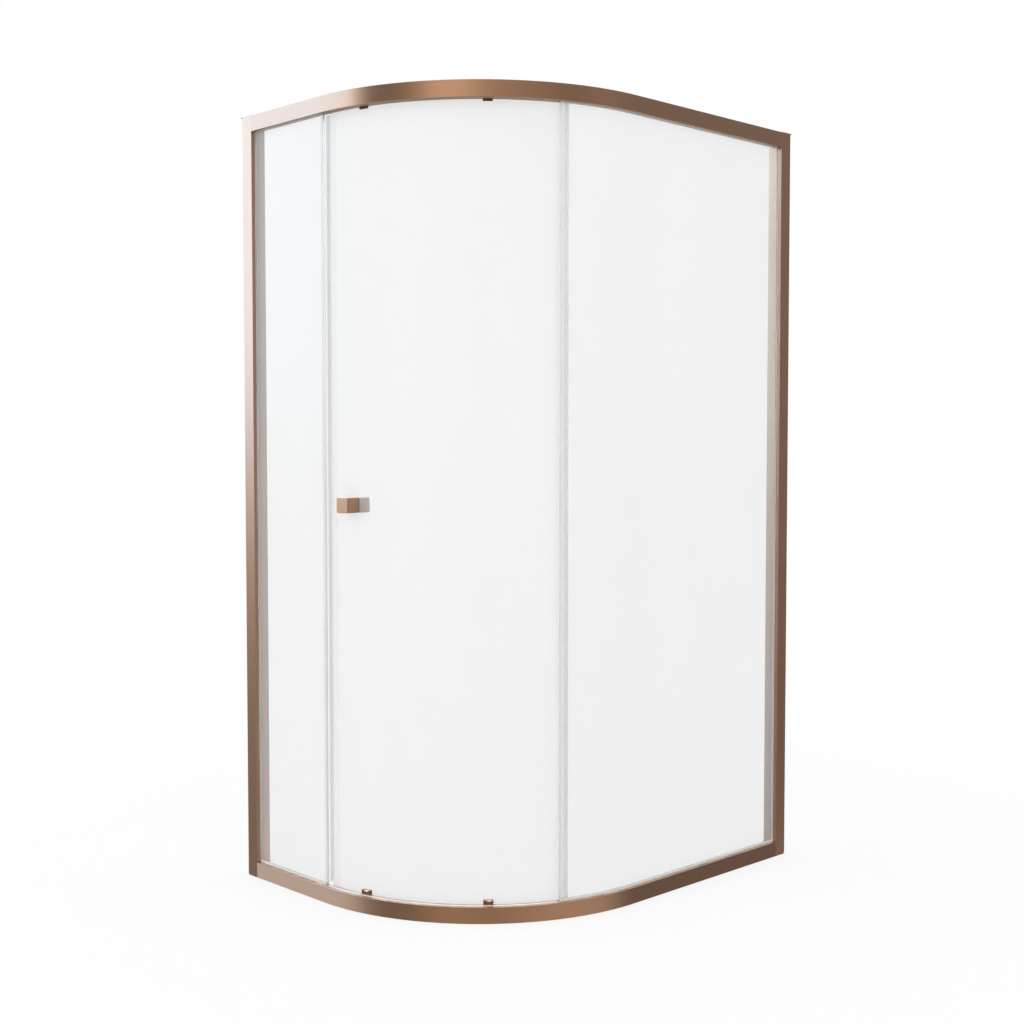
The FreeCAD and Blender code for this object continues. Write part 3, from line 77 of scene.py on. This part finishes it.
# the studio's panels, in degrees: name, (bearing where it starts, softness), (where it ends, softness),
# (low edge, softness), (high edge, softness), colour, strength;
# a bearing of 0 is out of the flat side and 90 out of the long front
PANELS = (
    ("left_window", (-115, 10), (-29, 5.5), (0, 4), (75, 10), COOL, 2.1),
    ("window_rim", (-33, 5), (-23.5, 4), (-3, 5), (75, 10), WARM, 1.0),
    ("window_sill", (-115, 10), (-27, 6), (-6, 4), (0, 4), WARM, 0.4),
    ("left_floor", (-115, 10), (-42, 6), (-75, 10), (-28, 6), WOOD, 0.9),
    ("left_room", (-150, 10), (-25, 8), *EVERY_HEIGHT, NEUTRAL, 0.32),
    ("front_room", (-9, 8), (86, 16), *EVERY_HEIGHT, WOOD, 0.20),
    ("front_screen", (14, 9), (42, 14), (6, 9), (60, 15), WARM, 0.74),
    ("front_wall", (10, 15), (56, 30), (5, 9), (60, 15), WARM, 0.56),
    ("floor_glow", (74, 42), (131, 4), (-75, 10), (-19.5, 4), WARM, 2.5),
    ("right_room", (108, 15), (210, 10), *EVERY_HEIGHT, NEUTRAL, 0.20),
    ("room_above", (-200, 5), (200, 5), (-8, 4), (95, 1), NEUTRAL, 0.10),
    ("ceiling", (-200, 5), (200, 5), (55, 10), (95, 1), CLEAR, 1.8),
    ("backdrop", (175, 12), (275, 12), (0, 4), (50, 15), CLEAR, 1.2),
)
# the studio's light between the panels, and the plain light on matt surfaces
STUDIO_LEVEL = 0.05
PLAIN_LEVEL = 0.75

# large soft lamps: name, place, the point they are aimed at, size in metres, power in watts
LAMPS = (
    ("key_left", (-5.2, 1.6, 3.2), (0, 0, 1.0), (2.6, 3.0), 65),
    ("front_fill", (-1.6, -5.5, 3.4), (0, 0, 1.0), (3.0, 2.4), 60),
    ("top_soft", (0.2, 0.2, 5.2), (0, 0, 0), (4.0, 4.0), 60),
)

# the camera, fitted to the edges of the frame in the photograph
CAMERA_PLACE = (-2.76877, -2.80545, 1.14747)
CAMERA_YAW = 44.181
CAMERA_PITCH = -2.647
CAMERA_LENS = 51.058
CAMERA_SENSOR = 36.0
CAMERA_CLIP = (0.1, 100)

# numbers of a Mix node's sockets for vectors; their names are the same for each kind of data
MIX_FACTOR, MIX_A, MIX_B, MIX_RESULT = 0, 4, 5, 1


# ---------------------------------------------------------------- node helpers
def new_material(name):
    """An empty node material with its Principled shader already wired to the output."""
    material = bpy.data.materials.new(name)
    material.use_nodes = True
    tree = material.node_tree
    shader = next(n for n in tree.nodes if n.type == "BSDF_PRINCIPLED")
    return material, tree, shader


def add(tree, kind, **settings):
    """A node with its properties set by name."""
    node = tree.nodes.new(kind)
    for key, value in settings.items():
        setattr(node, key, value)
    return node


def stretched_noise(tree, stretch, detail):
    """Noise in object space whose grain is drawn out along the directions with a small stretch."""
    coordinates = add(tree, "ShaderNodeTexCoord")
    mapping = add(tree, "ShaderNodeMapping")
    mapping.inputs["Scale"].default_value = stretch
    noise = add(tree, "ShaderNodeTexNoise")
    noise.inputs["Scale"].default_value = 1.0
    noise.inputs["Detail"].default_value = detail
    tree.links.new(coordinates.outputs["Object"], mapping.inputs["Vector"])
    tree.links.new(mapping.outputs["Vector"], noise.inputs["Vector"])
    return noise.outputs["Fac"]


def ramp(tree, source, span, low_color, high_color):
    """Colour ramp between two colours over a span of the source's value."""
    node = add(tree, "ShaderNodeValToRGB")
    for element, position, color in zip(node.color_ramp.elements, span, (low_color, high_color)):
        element.position = position
        element.color = (*color, 1)
    tree.links.new(source, node.inputs["Fac"])
    return node.outputs["Color"]


def spread(tree, source, low, high):
    """Maps a 0..1 value to low..high."""
    node = add(tree, "ShaderNodeMapRange")
    node.inputs["To Min"].default_value = low
    node.inputs["To Max"].default_value = high
    tree.links.new(source, node.inputs["Value"])
    return node.outputs["Result"]


def rounded_normal(tree, radius):
    """The surface's normal with its hard edges rounded off."""
    bevel = add(tree, "ShaderNodeBevel", samples=EDGE_SAMPLES)
    bevel.inputs["Radius"].default_value = radius
    return bevel.outputs["Normal"]


def brushed_normal(tree, normal, grain):
    """A normal with the fine relief of the brushed grain."""
    bump = add(tree, "ShaderNodeBump")
    bump.inputs["Strength"].default_value = BRUSH_BUMP
    bump.inputs["Distance"].default_value = BRUSH_DEPTH
    tree.links.new(grain, bump.inputs["Height"])
    tree.links.new(normal, bump.inputs["Normal"])
    return bump.outputs["Normal"]


def math_node(tree, operation, *values):
    """One Math node; its values are numbers or sockets."""
    node = add(tree, "ShaderNodeMath", operation=operation)
    for socket, value in zip(node.inputs, values):
        if isinstance(value, (int, float)):
            socket.default_value = value
        else:
            tree.links.new(value, socket)
    return node.outputs[0]


def edge(tree, value, start, end):
    """Rises smoothly from 0 to 1 between start and end, or falls when end is the smaller."""
    node = add(tree, "ShaderNodeMapRange", interpolation_type="SMOOTHSTEP")
    node.inputs["From Min"].default_value = min(start, end)
    node.inputs["From Max"].default_value = max(start, end)
    node.inputs["To Min"].default_value = 0.0 if end > start else 1.0
    node.inputs["To Max"].default_value = 1.0 if end > start else 0.0
    tree.links.new(value, node.inputs["Value"])
    return node.outputs["Result"]


def seen_directly(tree, rays):
    """1 for rays from the camera, also through glass, and 0 for light that a surface reflects."""
    unreflected = math_node(tree, "LESS_THAN", rays.outputs["Glossy Depth"], 0.5)
    through_glass = math_node(tree, "MULTIPLY", rays.outputs["Is Transmission Ray"], unreflected)
    return math_node(tree, "MAXIMUM", rays.outputs["Is Camera Ray"], through_glass)


def times(color, factor):
    """A colour made stronger or weaker by a factor."""
    return tuple(channel * factor for channel in color)


# ---------------------------------------------------------------- materials
def tone_pair(color, variation):
    """The colour a little darker and a little lighter."""
    return times(color, 1 - variation), times(color, 1 + variation)


def grey(level):
    """A neutral grey of that level."""
    return (level, level, level)


def stretch_highlight(tree, shader, direction, evenness):
    """Spreads a metal's highlight level round the object, or upright."""
    shader.inputs["Anisotropic"].default_value = evenness
    if direction == "level":
        tangent = add(tree, "ShaderNodeTangent", direction_type="RADIAL", axis="Z").outputs["Tangent"]
    else:
        upright = add(tree, "ShaderNodeCombineXYZ")
        upright.inputs["Z"].default_value = 1.0
        tangent = upright.outputs["Vector"]
    tree.links.new(tangent, shader.inputs["Tangent"])


def brushed_metal(name, color, stretch, roughness=0.3, spread_along=None, evenness=0.0):
    """Brushed and anodised aluminium: fine grain along the profile and a highlight spread across it."""
    material, tree, shader = new_material(name)
    shader.inputs["Metallic"].default_value = 1.0
    shader.inputs["Coat Weight"].default_value = 0.8
    shader.inputs["Coat Roughness"].default_value = 0.2
    grain = stretched_noise(tree, stretch, detail=4.0)
    tones = tone_pair(color, variation=0.04)
    tree.links.new(ramp(tree, grain, GRAIN_SPAN, *tones), shader.inputs["Base Color"])
    tree.links.new(spread(tree, grain, roughness - 0.04, roughness + 0.04), shader.inputs["Roughness"])
    if spread_along:
        stretch_highlight(tree, shader, spread_along, evenness)
    normal = brushed_normal(tree, rounded_normal(tree, METAL_EDGE), grain)
    tree.links.new(normal, shader.inputs["Normal"])
    return material


def clear_glass(name):
    """Toughened clear glass with the faint white veil of its water-shedding coating."""
    material, tree, shader = new_material(name)
    shader.inputs["Roughness"].default_value = 0.0
    shader.inputs["IOR"].default_value = GLASS_IOR
    shader.inputs["Specular IOR Level"].default_value = 0.1
    shader.inputs["Specular Tint"].default_value = (*grey(0.02), 1)
    shader.inputs["Transmission Weight"].default_value = 0.80
    veil = stretched_noise(tree, GLASS_VEIL, detail=2.0)
    tint = ramp(tree, veil, VEIL_SPAN, (0.880, 0.882, 0.882), (0.892, 0.894, 0.894))
    tree.links.new(tint, shader.inputs["Base Color"])
    return material


def soft_plastic(name, color, roughness=0.4, cover=1.0, variation=0.06):
    """Extruded PVC or nylon with slight unevenness; a cover below 1 lets what is behind show through."""
    material, tree, shader = new_material(name)
    shader.inputs["Alpha"].default_value = cover
    grain = stretched_noise(tree, ALONG_SEALS, detail=3.0)
    tree.links.new(ramp(tree, grain, GRAIN_SPAN, *tone_pair(color, variation)), shader.inputs["Base Color"])
    tree.links.new(spread(tree, grain, roughness * 0.85, roughness * 1.15), shader.inputs["Roughness"])
    tree.links.new(rounded_normal(tree, PLASTIC_EDGE), shader.inputs["Normal"])
    return material


def clear_plastic(name, level, clearness):
    """Thin clear PVC."""
    material, tree, shader = new_material(name)
    shader.inputs["Roughness"].default_value = 0.0
    shader.inputs["IOR"].default_value = THIN_IOR
    shader.inputs["Transmission Weight"].default_value = clearness
    grain = stretched_noise(tree, ALONG_SEALS, detail=3.0)
    tint = ramp(tree, grain, GRAIN_SPAN, grey(level - 0.01), grey(level + 0.01))
    tree.links.new(tint, shader.inputs["Base Color"])
    return material


def plastic_with_painted_edge_shade(name):
    """Clear PVC with thin grey lines painted at its cut edges: painted shade standing in for the darkening
    of light bent in the edge.
    """
    material, tree, shader = new_material(name)
    shader.inputs["Roughness"].default_value = 0.25
    flatness = add(tree, "ShaderNodeVectorMath", operation="DOT_PRODUCT")
    tree.links.new(rounded_normal(tree, SEAL_LINE), flatness.inputs[0])
    tree.links.new(add(tree, "ShaderNodeNewGeometry").outputs["Normal"], flatness.inputs[1])
    # towards the cut edges the plastic turns grey and less clear: painted shade, not a colour of the plastic
    flat = edge(tree, flatness.outputs["Value"], start=0.80, end=0.98)
    tree.links.new(spread(tree, flat, low=0.22, high=0.03), shader.inputs["Alpha"])
    tree.links.new(ramp(tree, flat, FULL_SPAN, grey(0.35), grey(0.95)), shader.inputs["Base Color"])
    return material


def turned_steel(name):
    """Turned steel of axles, screws and springs."""
    material, tree, shader = new_material(name)
    shader.inputs["Metallic"].default_value = 1.0
    grain = stretched_noise(tree, TURNED, detail=2.0)
    color = ramp(tree, grain, GRAIN_SPAN, (0.52, 0.50, 0.48), (0.62, 0.60, 0.58))
    tree.links.new(color, shader.inputs["Base Color"])
    tree.links.new(spread(tree, grain, low=0.22, high=0.34), shader.inputs["Roughness"])
    tree.links.new(rounded_normal(tree, STEEL_EDGE), shader.inputs["Normal"])
    return material


# by the material slot that the record gives a piece
SLOT_MATERIALS = {
    "glass": clear_glass("clear_glass"),
    # the gaskets' pale colour is partly their own and partly painted highlight, lightened to stand in for
    # the lit ledge and to lift the shade they sit in
    "gasket": soft_plastic("pale_gasket_and_painted_highlight", (0.88, 0.86, 0.83), roughness=0.5),
    "infill": soft_plastic("infill_strip", (0.30, 0.20, 0.14)),
    "seal": soft_plastic("frosted_seal", grey(0.90), roughness=0.35, cover=0.32, variation=0.03),
    "magnet": clear_plastic("clear_magnet", level=0.98, clearness=0.98),
    "steel": turned_steel("turned_steel"),
    "nylon": soft_plastic("white_nylon", (0.78, 0.77, 0.75)),
    "nylon_wheel": soft_plastic("wheel_nylon", (0.60, 0.59, 0.57), roughness=0.3),
    "dark_nylon": soft_plastic("dark_nylon", (0.085, 0.060, 0.045)),
    "button": brushed_metal("rose_gold_button", ROSE_GOLD_KNOB, ALL_OVER),
    "knob_metal": brushed_metal("rose_gold_knob", ROSE_GOLD_KNOB, AROUND_KNOBS),
    "fitting_metal": brushed_metal("rose_gold_fitting", ROSE_GOLD_FITTING, ALL_OVER),
    "frame_metal": brushed_metal("rose_gold_upright", ROSE_GOLD, ALONG_POSTS, 0.32, "level", 0.7),
}
# pieces whose look differs from the rest of their slot
OWN_MATERIALS = {
    "top_rail": brushed_metal("rose_gold_top_rail", ROSE_GOLD, ALONG_RAILS, 0.35, "upright", 0.85),
    "bottom_rail": brushed_metal("rose_gold_bottom_rail", ROSE_GOLD, ALONG_RAILS, 0.52, "upright", 0.97),
    # the door seal's cut edges get painted shade as thin grey lines
    "door_magnetic_seal": plastic_with_painted_edge_shade("seal_with_painted_edge_shade"),
    "left_magnetic_seal": clear_plastic("clear_seal", level=0.95, clearness=0.88),
    "knob_washers": soft_plastic("brown_washer", (0.15, 0.10, 0.055), roughness=0.5),
    # the bottom infill strip is a pale copy of the brown infill: painted highlight standing in for the light
    # caught on the bottom rail's ledge
    "bottom_infill_strip": soft_plastic("strip_with_painted_ledge_highlight", (0.86, 0.82, 0.79), roughness=0.35),
}
slot_of = {s["node"]: s["material_slot"] for s in frame["record"]["subparts"]}
for name, node in nodes.items():
    node.data.materials.clear()
    node.data.materials.append(OWN_MATERIALS.get(name, SLOT_MATERIALS[slot_of[name]]))
for name in ("left_fixed_glass", "right_fixed_glass", "door_glass"):
    nodes[name].visible_shadow = False


# ---------------------------------------------------------------- floor, light and background
def make_floor():
    """Large pale floor with the object's soft shadow, fading into the white background around it."""
    bpy.ops.mesh.primitive_circle_add(
        vertices=FLOOR_CORNERS, radius=FLOOR_RADIUS, fill_type="NGON", location=(0, 0, -FLOOR_GAP)
    )
    floor = bpy.context.object
    floor.name = "floor"
    material, tree, shader = new_material("pale_floor")
    shader.inputs["Base Color"].default_value = (*grey(FLOOR_GREY), 1)
    shader.inputs["Roughness"].default_value = 0.8
    shader.inputs["Specular IOR Level"].default_value = 0.2
    rays = add(tree, "ShaderNodeLightPath")
    seen = seen_directly(tree, rays)
    white = add(tree, "ShaderNodeEmission")
    lit = add(tree, "ShaderNodeMixShader")
    tree.links.new(math_node(tree, "MULTIPLY", seen, FLOOR_WHITENESS), lit.inputs["Fac"])
    tree.links.new(shader.outputs[0], lit.inputs[1])
    tree.links.new(white.outputs[0], lit.inputs[2])

    reach = add(tree, "ShaderNodeVectorMath", operation="LENGTH")
    tree.links.new(add(tree, "ShaderNodeTexCoord").outputs["Object"], reach.inputs[0])
    faded = math_node(tree, "MULTIPLY", edge(tree, reach.outputs["Value"], *FLOOR_FADE), seen)
    hidden = math_node(tree, "MAXIMUM", faded, rays.outputs["Is Glossy Ray"])
    nothing = add(tree, "ShaderNodeBsdfTransparent")
    shown = add(tree, "ShaderNodeMixShader")
    tree.links.new(hidden, shown.inputs["Fac"])
    tree.links.new(lit.outputs[0], shown.inputs[1])
    tree.links.new(nothing.outputs[0], shown.inputs[2])
    output = next(n for n in tree.nodes if n.type == "OUTPUT_MATERIAL")
    tree.links.new(shown.outputs[0], output.inputs["Surface"])
    floor.data.materials.append(material)


def panel_share(tree, x, y, height, start, end, low, high):
    """How much of a panel lies in a direction, from 0 outside its soft edges to 1 inside them."""
    middle = math.radians((start[0] + end[0]) / 2)
    half = (end[0] - start[0]) / 2
    c, s = math.cos(middle), math.sin(middle)
    ahead = math_node(tree, "ADD", math_node(tree, "MULTIPLY", x, -c), math_node(tree, "MULTIPLY", y, -s))
    aside = math_node(tree, "ADD", math_node(tree, "MULTIPLY", x, s), math_node(tree, "MULTIPLY", y, -c))
    turn = math_node(tree, "DEGREES", math_node(tree, "ARCTAN2", aside, ahead))
    share = edge(tree, turn, -half - start[1], -half + start[1])
    for inside in (
        edge(tree, turn, half + end[1], half - end[1]),
        edge(tree, height, low[0] - low[1], low[0] + low[1]),
        edge(tree, height, high[0] + high[1], high[0] - high[1]),
    ):
        share = math_node(tree, "MULTIPLY", share, inside)
    return share


def vector_mix(tree, factor, first, second):
    """Mixes two vectors, each a triple of numbers or a socket, by a factor."""
    node = add(tree, "ShaderNodeMix", data_type="VECTOR")
    tree.links.new(factor, node.inputs[MIX_FACTOR])
    for socket, value in ((node.inputs[MIX_A], first), (node.inputs[MIX_B], second)):
        if isinstance(value, tuple):
            socket.default_value = value
        else:
            tree.links.new(value, socket)
    return node.outputs[MIX_RESULT]


def make_world():
    """White for the camera and through glass, plain for matt surfaces, a studio with panels for gloss."""
    world = bpy.data.worlds.new("studio")
    bpy.context.scene.world = world
    world.use_nodes = True
    tree = world.node_tree
    direction = add(tree, "ShaderNodeSeparateXYZ")
    tree.links.new(add(tree, "ShaderNodeTexCoord").outputs["Generated"], direction.inputs[0])
    x, y, z = direction.outputs
    height = math_node(tree, "DEGREES", math_node(tree, "ARCSINE", z))
    studio = None
    for name, start, end, low, high, color, strength in PANELS:
        panel = add(tree, "ShaderNodeVectorMath", operation="SCALE")
        panel.label = name
        panel.inputs[0].default_value = times(color, strength)
        tree.links.new(panel_share(tree, x, y, height, start, end, low, high), panel.inputs["Scale"])
        total = add(tree, "ShaderNodeVectorMath", operation="ADD")
        if studio is None:
            total.inputs[0].default_value = times(NEUTRAL, STUDIO_LEVEL)
        else:
            tree.links.new(studio, total.inputs[0])
        tree.links.new(panel.outputs[0], total.inputs[1])
        studio = total.outputs[0]

    rays = add(tree, "ShaderNodeLightPath")
    reflected = vector_mix(tree, rays.outputs["Is Glossy Ray"], grey(PLAIN_LEVEL), studio)
    shown = vector_mix(tree, seen_directly(tree, rays), reflected, grey(1.0))
    background = next(n for n in tree.nodes if n.type == "BACKGROUND")
    tree.links.new(shown, background.inputs["Color"])


def make_lamp(name, place, target, size, power):
    """A large soft lamp aimed at a point; the panels stand in for it in reflections."""
    data = bpy.data.lights.new(name, "AREA")
    data.shape = "RECTANGLE"
    data.size, data.size_y = size
    data.energy = power
    lamp = bpy.data.objects.new(name, data)
    lamp.location = place
    lamp.rotation_euler = (Vector(target) - Vector(place)).to_track_quat("-Z", "Y").to_euler()
    lamp.visible_glossy = False
    lamp.visible_transmission = False
    bpy.context.scene.collection.objects.link(lamp)


make_floor()
make_world()
for lamp in LAMPS:
    make_lamp(*lamp)


# ---------------------------------------------------------------- camera
def make_camera():
    """Camera at the photograph's place and angles."""
    yaw, pitch = math.radians(CAMERA_YAW), math.radians(CAMERA_PITCH)
    forward = Vector((math.sin(yaw) * math.cos(pitch), math.cos(yaw) * math.cos(pitch), math.sin(pitch)))
    right = Vector((math.cos(yaw), -math.sin(yaw), 0))
    up = right.cross(forward)
    data = bpy.data.cameras.new("camera")
    data.sensor_width = CAMERA_SENSOR
    data.lens = CAMERA_LENS
    data.clip_start, data.clip_end = CAMERA_CLIP
    camera = bpy.data.objects.new("camera", data)
    turn = Matrix((right, up, -forward)).transposed()
    camera.matrix_world = Matrix.Translation(CAMERA_PLACE) @ turn.to_4x4()
    bpy.context.scene.collection.objects.link(camera)
    bpy.context.scene.camera = camera


make_camera()
bpy.context.scene.view_settings.view_transform = "Standard"
